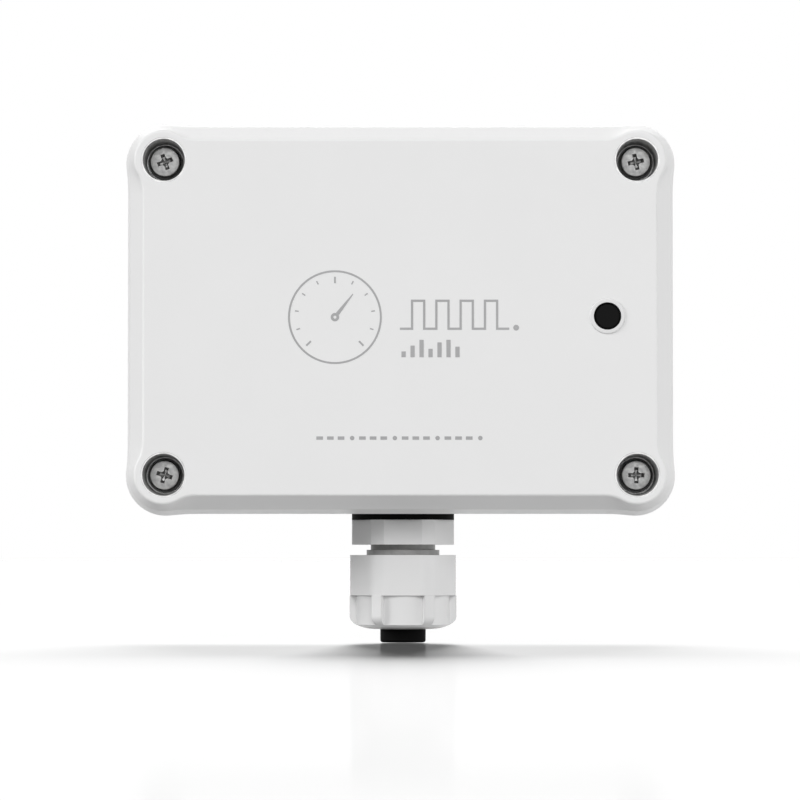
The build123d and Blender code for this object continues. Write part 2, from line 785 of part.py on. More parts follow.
def terminal_housing():
    housing = block(terminal_width, terminal_depth, terminal_height, gland_x, terminal_y, board_top_z)
    for x in pole_places:
        housing -= block(cage_width + 2 * cage_fit, cage_depth + 2 * cage_fit,
                         cage_ceiling_z - board_top_z, x, cage_y(), board_top_z)
        mouth_z = cage_floor_z + cage_wall
        housing -= block(wire_mouth_width, 4 * terminal_skin, wire_mouth_height,
                         x, terminal_y - terminal_depth / 2, mouth_z)
        housing -= disc(clamp_head_diameter + 2 * clamp_head_fit, terminal_height,
                        x, cage_y(), clamp_head_z)
        housing -= disc(clamp_screw_diameter + 2 * clamp_head_fit, terminal_height,
                        x, cage_y(), cage_floor_z)
        back = pin_y() + pin_side / 2 - cage_y()
        housing -= block(pin_plate_width, back, pin_plate_z + pin_plate_thickness - board_top_z,
                         x, cage_y() + back / 2, board_top_z)
    return housing


def terminal_cage(x):
    cage = block(cage_width, cage_depth, cage_height, x, cage_y(), cage_floor_z)
    cage -= block(cage_width - 2 * cage_wall, cage_depth, cage_height - cage_wall - cage_top,
                  x, cage_y(), cage_floor_z + cage_wall)
    return cage - disc(clamp_screw_diameter + 2 * clamp_screw_fit, cage_height,
                       x, cage_y(), cage_floor_z + cage_wall)


def terminal_screw(x):
    low = pin_plate_z + pin_plate_thickness + cage_room / 2
    screw = disc(clamp_screw_diameter, clamp_head_z - low, z=low)
    head = disc(clamp_head_diameter, clamp_head_height, z=clamp_head_z)
    slot = block(clamp_head_diameter, clamp_slot_width, clamp_slot_depth,
                 z=clamp_head_z + clamp_head_height - clamp_slot_depth)
    return Pos(x, cage_y(), 0) * (screw + head - slot)


def terminal_pins():
    pins = Part()
    for x in pole_places:
        back = pin_y() + pin_side / 2
        front = cage_y() - cage_depth / 2 + cage_wall
        plate = block(pin_plate_width, back - front, pin_plate_thickness,
                      x, (back + front) / 2, pin_plate_z)
        tail = block(pin_side, pin_side, pin_plate_z - board_top_z + pin_tail,
                     x, pin_y(), board_top_z - pin_tail)
        pins += plate + tail
    return pins


# ---- other board parts ------------------------------------------------------------------
def switch_body():
    body = block(switch_side, switch_side, switch_body_height, z=board_top_z)
    pocket_z = board_top_z + switch_body_height - switch_pocket_depth
    return body - disc(switch_flange_diameter + 2 * switch_fit, switch_pocket_depth, z=pocket_z)


def switch_plate():
    z = board_top_z + switch_body_height
    plate = block(switch_side, switch_side, switch_cover, z=z)
    return plate - disc(switch_plunger_diameter + 2 * switch_fit, switch_cover, z=z)


def switch_plunger():
    flange_z = board_top_z + switch_body_height - switch_flange_gap - switch_flange_height
    plunger = disc(switch_plunger_diameter, switch_top_z - flange_z, z=flange_z)
    plunger += disc(switch_flange_diameter, switch_flange_height, z=flange_z)
    return plunger


def radio_module():
    return block(radio_width, radio_height, radio_board, radio_x, radio_up, board_top_z)


def radio_shield():
    y = radio_up - (radio_height - shield_height) / 2 + shield_from_edge
    z = board_top_z + radio_board
    can = block(shield_width, shield_height, shield_depth, radio_x, y, z)
    can = fillet(can.edges().group_by(Axis.Z)[-1], 2 * shield_wall)
    inside = block(shield_width - 2 * shield_wall, shield_height - 2 * shield_wall,
                   shield_depth - shield_wall, radio_x, y, z)
    return can - inside


def antenna_coil():
    spiral = coil(antenna_pitch, antenna_length, antenna_diameter, antenna_wire)
    x = button_x - antenna_from_button
    z = board_top_z + antenna_diameter / 2
    return Pos(x, antenna_up - antenna_length / 2, z) * Rot(-90, 0, 0) * spiral


def controller():
    chip = block(controller_side, controller_side, controller_height, z=controller_standing)
    span = (controller_leads_per_side - 1) * controller_lead_pitch
    reach = controller_side / 2 + controller_lead_reach
    for side in range(4):
        for i in range(controller_leads_per_side):
            lead = block(reach, controller_lead_width, controller_standing, reach / 2,
                         i * controller_lead_pitch - span / 2)
            chip += Rot(0, 0, 90 * side) * lead
    return Pos(controller_x, low_row_y, board_top_z) * chip


def crystal():
    outline = SlotOverall(crystal_length, crystal_width)
    can = prism(outline, board_top_z, board_top_z + crystal_height)
    can = fillet(can.edges().group_by(Axis.Z)[-1], crystal_round)
    return Pos(controller_x - crystal_from_controller, low_row_y, 0) * can


def capacitor():
    can = disc(capacitor_diameter, capacitor_height, z=board_top_z)
    can = fillet(can.edges().group_by(Axis.Z)[-1], 2 * capacitor_bead)
    bead_z = board_top_z + capacitor_bead_up
    bead = Pos(0, 0, bead_z) * Torus(capacitor_diameter / 2, capacitor_bead)
    return Pos(capacitor_x, low_row_y, 0) * (can - bead)


def programming_header():
    width = header_columns * header_pitch
    depth = header_rows * header_pitch
    header = block(width, depth, header_body_height)
    for column in range(header_columns):
        for row in range(header_rows):
            x = (column - (header_columns - 1) / 2) * header_pitch
            y = (row - (header_rows - 1) / 2) * header_pitch
            header += block(header_pin_side, header_pin_side, header_pin_height, x, y)
    return Pos(capacitor_x + header_from_capacitor, low_row_y, board_top_z) * header


def chip_passives():
    chips = Part()
    length, width, height = chip_size
    lower_y = holder_y - holder_width / 2 - chip_row_from_part
    radio_row_y = radio_up - radio_height / 2 - 2 * chip_row_from_part
    for i in range(chip_count):
        shift = (i - (chip_count - 1) / 2) * chip_pitch
        chips += block(length, width, height, controller_x + shift, lower_y, board_top_z)
        chips += block(width, length, height, radio_x + shift, radio_row_y, board_top_z)
    return chips


# ---- assembly ------------------------------------------------------------------------
def all_pieces():
    on_button = Pos(button_x, button_up, 0)
    on_gland = gland_plane.location
    pieces = {
        "enclosure_base": enclosure_base(),
        "enclosure_lid": enclosure_lid(),
        "lid_gasket": lid_gasket(),
        "screw_well_liners": well_liners(),
        "button_bezel": on_button * button_bezel(),
        "button_cap": on_button * button_cap(),
        "button_seal": on_button * button_seal(),
        "button_clip": on_button * button_clip(),
        "button_spring": on_button * button_spring(),
        "gland_body": on_gland * gland_body(),
        "gland_washer": on_gland * gland_washer(),
        "gland_locknut": on_gland * gland_locknut(),
        "gland_dome_nut": on_gland * gland_dome_nut(),
        "gland_seal_insert": on_gland * gland_seal(),
        "gland_blanking_plug": on_gland * blanking_plug(),
        "circuit_board": circuit_board(),
        "board_screws": board_screws(),
        "battery_holder": battery_holder(),
        "battery_contacts": battery_contacts(),
        "battery_springs": battery_springs(),
        "terminal_housing": terminal_housing(),
        "terminal_pins": terminal_pins(),
        "switch_body": on_button * switch_body(),
        "switch_plate": on_button * switch_plate(),
        "switch_plunger": on_button * switch_plunger(),
        "radio_module": radio_module(),
        "radio_shield": radio_shield(),
        "antenna_coil": antenna_coil(),
        "microcontroller": controller(),
        "crystal_can": crystal(),
        "storage_capacitor": capacitor(),
        "programming_header": programming_header(),
        "chip_passives": chip_passives(),
    }
    for i, ((sx, sy), turn) in enumerate(zip(corner_signs, screw_turns), start=1):
        place = Pos(sx * screw_x, sy * screw_y, 0)
        pieces[f"lid_screw_{i}"] = place * lid_screw(turn)
        pieces[f"screw_sealing_ring_{i}"] = place * sealing_ring()
    for i, (y, direction) in enumerate(cell_places, start=1):
        pieces[f"battery_cell_{i}"] = battery_cell(y, direction)
    for i, x in enumerate(pole_places, start=1):
        pieces[f"terminal_cage_{i}"] = terminal_cage(x)
        pieces[f"terminal_screw_{i}"] = terminal_screw(x)
    return pieces


os.makedirs("parts", exist_ok=True)
for name, piece in all_pieces().items():
    export_step(stand_up * piece, f"parts/{name}.step")
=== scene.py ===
import bmesh
import bpy
import json
import math
from mathutils import Matrix, Vector


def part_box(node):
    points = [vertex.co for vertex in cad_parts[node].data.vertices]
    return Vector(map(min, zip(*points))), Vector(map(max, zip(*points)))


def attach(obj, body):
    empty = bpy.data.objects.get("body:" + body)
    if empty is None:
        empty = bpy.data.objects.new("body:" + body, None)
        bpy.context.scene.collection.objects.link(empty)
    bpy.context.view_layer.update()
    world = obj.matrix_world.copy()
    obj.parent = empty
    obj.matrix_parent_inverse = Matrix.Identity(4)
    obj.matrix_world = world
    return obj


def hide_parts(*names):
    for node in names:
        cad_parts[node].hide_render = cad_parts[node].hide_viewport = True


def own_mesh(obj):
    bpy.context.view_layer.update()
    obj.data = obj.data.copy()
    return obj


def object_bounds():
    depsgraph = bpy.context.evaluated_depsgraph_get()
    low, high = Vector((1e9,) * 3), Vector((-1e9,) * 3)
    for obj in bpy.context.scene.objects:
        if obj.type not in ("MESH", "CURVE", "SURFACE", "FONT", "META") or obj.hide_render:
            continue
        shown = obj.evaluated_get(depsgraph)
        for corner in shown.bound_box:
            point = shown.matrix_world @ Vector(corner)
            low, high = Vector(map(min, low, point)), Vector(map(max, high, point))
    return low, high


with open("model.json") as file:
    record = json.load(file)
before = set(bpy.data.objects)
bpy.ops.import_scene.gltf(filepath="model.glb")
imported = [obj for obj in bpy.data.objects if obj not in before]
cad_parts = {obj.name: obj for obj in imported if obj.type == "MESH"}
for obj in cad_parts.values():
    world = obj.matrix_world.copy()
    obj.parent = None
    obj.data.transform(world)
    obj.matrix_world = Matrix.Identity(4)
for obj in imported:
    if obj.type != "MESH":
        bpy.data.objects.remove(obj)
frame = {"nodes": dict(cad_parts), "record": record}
cad_low, cad_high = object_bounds()

MM = 0.001
FRONT_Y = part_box("enclosure_lid")[0].y / MM      # the lid's face, in millimetres
STAND_UP = Matrix.Rotation(math.radians(90), 4, "X")     # local +Z turns to face the front


# ---- studio -------------------------------------------------------------------------
def make_camera():
    """A long lens in front of the case, a little below its middle and tilted up slightly."""
    distance, aside, height, aim_height = 900, -0.08, -45.5, -15.7
    data = bpy.data.cameras.new("camera")
    data.sensor_width = 36.0
    data.lens = 214.2
    camera = bpy.data.objects.new("camera", data)
    bpy.context.scene.collection.objects.link(camera)
    face_y = FRONT_Y * MM
    camera.location = (aside * MM, face_y - distance * MM, height * MM)
    target = Vector((aside * MM, face_y, aim_height * MM))
    camera.rotation_mode = "QUATERNION"
    camera.rotation_quaternion = (target - camera.location).to_track_quat("-Z", "Y")
    bpy.context.scene.camera = camera


def sun(name, towards, strength, spread, lit=None, shading=None):
    """A soft sun that stands towards a direction, for all objects or only for chosen collections.

    A sun for chosen objects doesn't show in reflections.
    """
    data = bpy.data.lights.new(name, "SUN")
    data.energy = strength
    data.angle = math.radians(spread)
    light = bpy.data.objects.new(name, data)
    light.rotation_mode = "QUATERNION"
    light.rotation_quaternion = Vector(towards).to_track_quat("Z", "Y")
    bpy.context.scene.collection.objects.link(light)
    light.visible_glossy = lit is None
    light.light_linking.receiver_collection = lit
    light.light_linking.blocker_collection = shading


def make_world():
    """White where the camera and reflections look, and softer light, more from the right, elsewhere."""
    strength, lean = 0.38, (0.30, 0.0, -0.06)
    world = bpy.data.worlds.new("world")
    bpy.context.scene.world = world
    world.use_nodes = True
    nodes, links = world.node_tree.nodes, world.node_tree.links
    ambient = nodes["Background"]
    ambient.inputs["Color"].default_value = (1, 1, 1, 1)
    direction = nodes.new("ShaderNodeTexCoord")
    slope = nodes.new("ShaderNodeVectorMath")
    slope.operation = "DOT_PRODUCT"
    slope.inputs[1].default_value = lean
    links.new(direction.outputs["Generated"], slope.inputs[0])
    level = nodes.new("ShaderNodeMath")
    level.operation = "ADD"
    level.inputs[1].default_value = strength
    links.new(slope.outputs["Value"], level.inputs[0])
    links.new(level.outputs[0], ambient.inputs["Strength"])
    backdrop = nodes.new("ShaderNodeBackground")
    backdrop.inputs["Color"].default_value = (1, 1, 1, 1)
    backdrop.inputs["Strength"].default_value = 1.0
    paths = nodes.new("ShaderNodeLightPath")
    seen = nodes.new("ShaderNodeMath")
    seen.operation = "MAXIMUM"
    links.new(paths.outputs["Is Camera Ray"], seen.inputs[0])
    links.new(paths.outputs["Is Glossy Ray"], seen.inputs[1])
    mix = nodes.new("ShaderNodeMixShader")
    links.new(seen.outputs[0], mix.inputs[0])
    links.new(ambient.outputs[0], mix.inputs[1])
    links.new(backdrop.outputs[0], mix.inputs[2])
    links.new(mix.outputs[0], nodes["World Output"].inputs["Surface"])


def make_studio():
    """The world and the suns that light the part, from the front, both sides and behind."""
    bpy.context.scene.view_settings.view_transform = "Standard"
    make_world()
    sun("key", (0.15, -0.86, 0.43), 1.20, 30)
    sun("left", (-0.90, -0.32, 0.36), 1.95, 26)
    sun("right", (0.95, -0.30, -0.12), 0.26, 30)
    sun("over", (0.0, 0.8, 0.6), 0.75, 50)


def collection(name, objects):
    """A new collection, outside the scene's own, for a light to be linked to."""
    group = bpy.data.collections.new(name)
    for item in objects:
        group.objects.link(item)
    return group


def make_floor():
    """A plain white floor just under the gland's plug: a faint mirror, and clear from below."""
    half, gap, white, gloss_share, gloss_roughness = 40.0, 0.15, 0.12, 0.15, 0.06
    low = cad_low.z - gap * MM
    mesh = bpy.data.meshes.new("floor")
    corners = [(sx * half, sy * half, low) for sx, sy in ((-1, -1), (1, -1), (1, 1), (-1, 1))]
    mesh.from_pydata(corners, [], [(0, 1, 2, 3)])
    floor = bpy.data.objects.new("floor", mesh)
    bpy.context.scene.collection.objects.link(floor)
    floor.visible_diffuse = False
    floor.visible_shadow = False
    material = bpy.data.materials.new("floor")
    material.use_nodes = True
    nodes, links = material.node_tree.nodes, material.node_tree.links
    nodes.clear()
    diffuse = nodes.new("ShaderNodeBsdfDiffuse")
    diffuse.inputs["Color"].default_value = (white, white, white, 1)
    gloss = nodes.new("ShaderNodeBsdfGlossy")
    gloss.inputs["Roughness"].default_value = gloss_roughness
    mix = nodes.new("ShaderNodeMixShader")
    mix.inputs[0].default_value = gloss_share
    links.new(diffuse.outputs[0], mix.inputs[1])
    links.new(gloss.outputs[0], mix.inputs[2])
    side = nodes.new("ShaderNodeNewGeometry")
    clear = nodes.new("ShaderNodeBsdfTransparent")
    faced = nodes.new("ShaderNodeMixShader")
    links.new(side.outputs["Backfacing"], faced.inputs[0])
    links.new(mix.outputs[0], faced.inputs[1])
    links.new(clear.outputs[0], faced.inputs[2])
    out = nodes.new("ShaderNodeOutputMaterial")
    links.new(faced.outputs[0], out.inputs["Surface"])
    mesh.materials.append(material)
    only_floor = collection("only_floor", [floor])
    gland = collection("gland", [frame["nodes"][part["node"]] for part in frame["record"]["subparts"]
                                 if part["node"].startswith("gland_")])
    sun("floor_back", (0.0, 0.82, 0.57), 13.0, 26, only_floor)
    sun("floor_contact", (0.0, 0.98, 0.19), 92.0, 11, only_floor, gland)


# ---- material tools -------------------------------------------------------------------
class Surface:
    """A principled material whose colour, roughness and relief vary over the surface."""

    def __init__(self, name, roughness, metallic=0.0, **constants):
        self.material = bpy.data.materials.new(name)
        self.material.use_nodes = True
        self.nodes = self.material.node_tree.nodes
        self.links = self.material.node_tree.links
        self.shader = self.nodes["Principled BSDF"]
        self.shader.inputs["Roughness"].default_value = roughness
        self.shader.inputs["Metallic"].default_value = metallic
        for socket, value in constants.items():
            self.shader.inputs[socket.replace("_", " ")].default_value = value
        self.place = self.nodes.new("ShaderNodeTexCoord").outputs["Object"]
        self.normal = None

    def stretched(self, stretch):
        """The object's coordinates, scaled along each axis."""
        mapping = self.nodes.new("ShaderNodeMapping")
        mapping.inputs["Scale"].default_value = stretch
        self.links.new(self.place, mapping.inputs["Vector"])
        return mapping.outputs[0]

    def noise(self, size, stretch=(1, 1, 1), detail=2.0):
        """Cloudy noise whose features are about size millimetres across."""
        texture = self.nodes.new("ShaderNodeTexNoise")
        texture.inputs["Scale"].default_value = 1 / (size * MM)
        texture.inputs["Detail"].default_value = detail
        self.links.new(self.stretched(stretch), texture.inputs["Vector"])
        return texture.outputs["Fac"]

    def cells(self, size):
        """Distances in a pattern of irregular cells about size millimetres across."""
        texture = self.nodes.new("ShaderNodeTexVoronoi")
        texture.inputs["Scale"].default_value = 1 / (size * MM)
        self.links.new(self.place, texture.inputs["Vector"])
        return texture.outputs["Distance"]

    def rings(self, pitch):
        """Circles about the object's own z axis, pitch millimetres apart, like the marks of a lathe."""
        one_per_unit = 0.314         # the scale at which this texture has one ring per unit of length
        texture = self.nodes.new("ShaderNodeTexWave")
        texture.wave_type = "RINGS"
        texture.rings_direction = "Z"
        texture.inputs["Scale"].default_value = one_per_unit / (pitch * MM)
        texture.inputs["Distortion"].default_value = 1.5
        texture.inputs["Detail"].default_value = 3.0
        self.links.new(self.place, texture.inputs["Vector"])
        return texture.outputs["Fac"]

    def remap(self, value, low, high, to_low, to_high):
        """The value's range from low to high, mapped to a new range and clamped to it."""
        node = self.nodes.new("ShaderNodeMapRange")
        for socket, number in (("From Min", low), ("From Max", high),
                               ("To Min", to_low), ("To Max", to_high)):
            node.inputs[socket].default_value = number
        self.links.new(value, node.inputs["Value"])
        return node.outputs[0]

    def mix(self, factor, first, second):
        """Two colours, or a colour and an earlier mix, mixed by a factor."""
        node = self.nodes.new("ShaderNodeMix")
        node.data_type = "RGBA"
        self.links.new(factor, node.inputs["Factor"])
        for socket, value in ((6, first), (7, second)):
            if isinstance(value, tuple):
                node.inputs[socket].default_value = (*value, 1)
            else:
                self.links.new(value, node.inputs[socket])
        return node.outputs[2]

    def colour(self, value):
        self.links.new(value, self.shader.inputs["Base Color"])

    def rough(self, value, low, high):
        """Roughness that runs from low to high as the value runs from dark to bright."""
        self.links.new(self.remap(value, 0.3, 0.7, low, high), self.shader.inputs["Roughness"])

    def relief(self, value, depth, strength=1.0):
        """Bumps that are depth millimetres high, over any added before."""
        node = self.nodes.new("ShaderNodeBump")
        node.inputs["Distance"].default_value = depth * MM
        node.inputs["Strength"].default_value = strength
        self.links.new(value, node.inputs["Height"])
        if self.normal is not None:
            self.links.new(self.normal, node.inputs["Normal"])
        self.normal = node.outputs["Normal"]
        self.links.new(self.normal, self.shader.inputs["Normal"])

    def soft_edges(self, radius):
        """Edges that catch the light as if they were rounded by radius millimetres."""
        node = self.nodes.new("ShaderNodeBevel")
        node.samples = 4
        node.inputs["Radius"].default_value = radius * MM
        self.normal = node.outputs["Normal"]
        self.links.new(self.normal, self.shader.inputs["Normal"])


def shade(colour, factor):
    """The colour, darker or lighter by a factor."""
    return tuple(min(1.0, c * factor) for c in colour)


def moulded(name, colour, roughness, mottle=0.02, grain=0.25, depth=0.004, edge=0.0, **constants):
    """Moulded plastic or rubber: even colour, a fine spark-eroded grain, soft edges."""
    surface = Surface(name, roughness, **constants)
    if edge:
        surface.soft_edges(edge)
    clouds = surface.noise(14.0, detail=3.0)
    surface.colour(surface.mix(surface.remap(clouds, 0.3, 0.7, 0, 1),
                               shade(colour, 1 - mottle), shade(colour, 1 + mottle)))
    surface.rough(surface.noise(2.2), roughness - 0.05, roughness + 0.05)
    surface.relief(surface.noise(grain), depth)
    return surface.material


def gland_plastic():
    """Moulded plastic, with painted shade darkening the neck, thread and bore near the gland's axis."""
    low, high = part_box("gland_blanking_plug")
    axis = (low + high) / 2
    # The second tone is painted shade, not the plastic's own colour.
    outer, shade_tone = (0.765, 0.765, 0.765), (0.39, 0.39, 0.385)
    # Painted shade is full up to the first distance and gone past the second.
    shade_full, shade_gone = 7.4, 8.4        # distances from the axis
    surface = Surface("gland_plastic", 0.36, Specular_IOR_Level=0.25)
    surface.soft_edges(0.15)
    away = surface.nodes.new("ShaderNodeVectorMath")
    away.operation = "SUBTRACT"
    away.inputs[1].default_value = (axis.x, axis.y, 0)
    surface.links.new(surface.place, away.inputs[0])
    flat = surface.nodes.new("ShaderNodeVectorMath")
    flat.operation = "MULTIPLY"
    flat.inputs[1].default_value = (1, 1, 0)
    surface.links.new(away.outputs[0], flat.inputs[0])
    radius = surface.nodes.new("ShaderNodeVectorMath")
    radius.operation = "LENGTH"
    surface.links.new(flat.outputs[0], radius.inputs[0])
    # Mask for the painted shade: 0 where it is full, 1 where it is gone.
    unshaded = surface.remap(radius.outputs["Value"], shade_full * MM, shade_gone * MM, 0, 1)
    clouds = surface.remap(surface.noise(14.0, detail=3.0), 0.3, 0.7, 0, 1)
    base = surface.mix(clouds, shade(outer, 0.988), shade(outer, 1.012))
    # The painted shade tone, with a fine mottle.
    painted_shade = surface.mix(surface.noise(1.2), shade(shade_tone, 0.8), shade(shade_tone, 1.2))
    # Painted shade near the axis, the plastic's own mottled colour further out.
    surface.colour(surface.mix(unshaded, painted_shade, base))
    surface.rough(surface.noise(2.2), 0.31, 0.41)
    surface.relief(surface.noise(0.5), 0.003)
    return surface.material


def drawn_metal(name, colour, roughness, stretch=(1, 1, 1), mottle=0.12, scratch=0.3, **constants):
    """Metal with fine marks along the way it was drawn or rolled, and a little staining."""
    surface = Surface(name, roughness, metallic=1.0, **constants)
    stains = surface.noise(1.6, detail=4.0)
    surface.colour(surface.mix(surface.remap(stains, 0.3, 0.7, 0, 1),
                               shade(colour, 1 - mottle), shade(colour, 1 + mottle)))
    marks = surface.noise(scratch, stretch)
    surface.rough(marks, roughness - 0.08, roughness + 0.10)
    surface.relief(marks, 0.003)
    return surface.material


# ---- materials --------------------------------------------------------------------------
def screw_steel():
    """Zinc-plated steel turned on its own axis, with small dull stains."""
    surface = Surface("screw_steel", 0.42, metallic=1.0)
    stains = surface.noise(0.7, detail=4.0)
    surface.colour(surface.mix(surface.remap(stains, 0.35, 0.65, 0, 1),
                               (0.25, 0.25, 0.25), (0.37, 0.37, 0.365)))
    marks = surface.rings(0.16)
    surface.rough(surface.noise(0.25), 0.34, 0.5)
    surface.relief(marks, 0.004, 0.5)
    surface.relief(stains, 0.01, 0.5)
    return surface.material


def liner_steel():
    """Pressed steel with fine marks round the cup."""
    surface = Surface("liner_steel", 0.36, metallic=1.0)
    marks = surface.noise(0.5, (1, 14, 1))
    surface.colour(surface.mix(surface.remap(surface.noise(1.8), 0.3, 0.7, 0, 1),
                               (0.42, 0.42, 0.42), (0.58, 0.58, 0.575)))
    surface.rough(marks, 0.42, 0.58)
    surface.relief(marks, 0.006)
    return surface.material


def board_laminate():
    """Green solder mask over copper tracks, with tinned vias."""
    surface = Surface("board_laminate", 0.3, Coat_Weight=0.3)
    tracks = surface.nodes.new("ShaderNodeTexBrick")
    tracks.inputs["Scale"].default_value = 1 / (4 * MM)
    tracks.inputs["Mortar Size"].default_value = 0.06
    tracks.inputs["Mortar Smooth"].default_value = 0.1
    tracks.inputs["Brick Width"].default_value = 3.1
    tracks.inputs["Row Height"].default_value = 0.37
    tracks.offset = 0.37
    flat = surface.nodes.new("ShaderNodeMapping")
    flat.inputs["Rotation"].default_value = (math.radians(90), 0, 0)
    surface.links.new(surface.place, flat.inputs["Vector"])
    surface.links.new(flat.outputs[0], tracks.inputs["Vector"])
    track = tracks.outputs["Fac"]
    mask = surface.mix(track, (0.012, 0.10, 0.045), (0.03, 0.20, 0.085))
    via = surface.remap(surface.cells(4.5), 0.055, 0.065, 1, 0)
    surface.colour(surface.mix(via, mask, (0.62, 0.60, 0.52)))
    surface.rough(surface.noise(1.5), 0.24, 0.36)
    surface.relief(track, 0.035)
    surface.relief(surface.noise(0.6), 0.004)
    return surface.material


def cell_sleeve():
    """Blue shrunk film with a paler band, and bare metal at both ends of each cell."""
    low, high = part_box("battery_cell_1")
    film_end, band_low, band_high = 1.4 * MM, 0.62, 0.74
    surface = Surface("cell_sleeve", 0.25, Coat_Weight=0.6)
    split = surface.nodes.new("ShaderNodeSeparateXYZ")
    surface.links.new(surface.place, split.inputs[0])
    along = surface.remap(split.outputs["X"], low.x, high.x, 0, 1)
    length = high.x - low.x

    def beyond(value, place, rising):
        step = 0.002
        return surface.remap(value, place - step, place + step, 0 if rising else 1, 1 if rising else 0)

    band = surface.nodes.new("ShaderNodeMath")
    band.operation = "MULTIPLY"
    surface.links.new(beyond(along, band_low, True), band.inputs[0])
    surface.links.new(beyond(along, band_high, False), band.inputs[1])
    ends = surface.nodes.new("ShaderNodeMath")
    ends.operation = "MAXIMUM"
    surface.links.new(beyond(along, film_end / length, False), ends.inputs[0])
    surface.links.new(beyond(along, 1 - film_end / length, True), ends.inputs[1])
    clouds = surface.remap(surface.noise(5.0), 0.3, 0.7, 0, 1)
    film = surface.mix(clouds, (0.035, 0.10, 0.30), (0.045, 0.13, 0.37))
    film = surface.mix(band.outputs[0], film, (0.62, 0.64, 0.66))
    surface.colour(surface.mix(ends.outputs[0], film, (0.66, 0.65, 0.62)))
    surface.links.new(ends.outputs[0], surface.shader.inputs["Metallic"])
    surface.rough(surface.noise(2.0), 0.2, 0.32)
    surface.relief(surface.noise(1.4, (0.15, 1, 1)), 0.005)
    return surface.material


def make_materials():
    """Every material, by the name of its slot; print_ink and ring_rubber have no slot of their own."""
    across = (1, 12, 1)
    return {
        "case_plastic": moulded("case_plastic", (0.80, 0.80, 0.80), 0.46, 0.006, 0.3, 0.003, 0.12),
        "gland_plastic": gland_plastic(),
        "bezel_plastic": moulded("bezel_plastic", (0.74, 0.74, 0.74), 0.35, 0.01, 0.3, 0.002, 0.1),
        "print_ink": moulded("print_ink", (0.37, 0.37, 0.375), 0.5, 0.05, 0.08, 0.003),
        "black_rubber": moulded("black_rubber", (0.004, 0.004, 0.004), 0.6, 0.25, 0.2, 0.008, 0.1,
                                Specular_IOR_Level=0.03),
        "ring_rubber": moulded("ring_rubber", (0.10, 0.10, 0.10), 0.6, 0.25, 0.3, 0.008, 0.1),
        "gasket_rubber": moulded("gasket_rubber", (0.05, 0.05, 0.052), 0.75, 0.25, 0.12, 0.03),
        "button_plastic": moulded("button_plastic", (0.005, 0.005, 0.005), 0.4, 0.2, 0.2, 0.004, 0.08,
                                  Specular_IOR_Level=0.05),
        "screw_steel": screw_steel(),
        "liner_steel": liner_steel(),
        "spring_steel": drawn_metal("spring_steel", (0.50, 0.49, 0.47), 0.3, across),
        "board_laminate": board_laminate(),
        "black_plastic": moulded("black_plastic", (0.022, 0.022, 0.024), 0.42, 0.2, 0.35, 0.006, 0.08),
        "cell_sleeve": cell_sleeve(),
        "terminal_plastic": moulded("terminal_plastic", (0.02, 0.27, 0.12), 0.38, 0.08, 0.3, 0.005, 0.1),
        "tin_plate": drawn_metal("tin_plate", (0.66, 0.66, 0.64), 0.26, (10, 1, 1), 0.06, 0.5),
        "terminal_metal": drawn_metal("terminal_metal", (0.60, 0.52, 0.36), 0.3, across, 0.1),
        "antenna_copper": drawn_metal("antenna_copper", (0.72, 0.36, 0.19), 0.28, across, 0.2),
        "capacitor_sleeve": moulded("capacitor_sleeve", (0.015, 0.022, 0.05), 0.25, 0.15, 1.0, 0.01,
                                    Coat_Weight=0.5),
        "chip_ceramic": moulded("chip_ceramic", (0.42, 0.30, 0.20), 0.4, 0.2, 0.15, 0.006),
    }


def paint_nodes(materials):
    """Gives each CAD node its slot's material; the sealing rings get a paler rubber than the rest."""
    for part in frame["record"]["subparts"]:
        node = frame["nodes"][part["node"]]
        node.data.materials.clear()
        slot = part["material_slot"]
        if part["node"].startswith("screw_sealing_ring"):
            slot = "ring_rubber"
        node.data.materials.append(materials[slot])


# ---- shared mesh tools --------------------------------------------------------------------
def add_piece(name, mesh_builder, material, body, place=(0, 0, 0), turn=Matrix.Identity(4)):
    """A new piece from a bmesh in millimetres, standing at place and turned by turn."""
    mesh_builder.normal_update()
    bmesh.ops.recalc_face_normals(mesh_builder, faces=mesh_builder.faces)
    bmesh.ops.scale(mesh_builder, vec=(MM, MM, MM), verts=mesh_builder.verts)
    mesh = bpy.data.meshes.new(name)
    mesh_builder.to_mesh(mesh)
    mesh_builder.free()
    mesh.materials.append(material)
    piece = bpy.data.objects.new(name, mesh)
    bpy.context.scene.collection.objects.link(piece)
    piece.matrix_world = Matrix.Translation(Vector(place) * MM) @ turn
    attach(piece, body)
    return piece


def shade_smooth(piece, angle):
    """Smooth shading over every edge flatter than angle, in degrees."""
    piece.data.shade_smooth()
    limit = math.radians(angle)
    builder = bmesh.new()
    builder.from_mesh(piece.data)
    for edge in builder.edges:
        edge.smooth = len(edge.link_faces) == 2 and edge.calc_face_angle() < limit
    builder.to_mesh(piece.data)
    builder.free()


def lathe(builder, profile, segments):
    """Turns a list of (radius, z) points about the z axis; a radius of 0 closes the end."""
    rows = []
    for radius, z in profile:
        if radius == 0:
            rows.append([builder.verts.new((0, 0, z))])
            continue
        angles = [2 * math.pi * i / segments for i in range(segments)]
        rows.append([builder.verts.new((radius * math.cos(a), radius * math.sin(a), z))
                     for a in angles])
    for first, second in zip(rows, rows[1:]):
        for i in range(segments):
            j = (i + 1) % segments
            if len(first) == 1:
                builder.faces.new((first[0], second[i], second[j]))
            elif len(second) == 1:
                builder.faces.new((first[i], first[j], second[0]))
            else:
                builder.faces.new((first[i], first[j], second[j], second[i]))


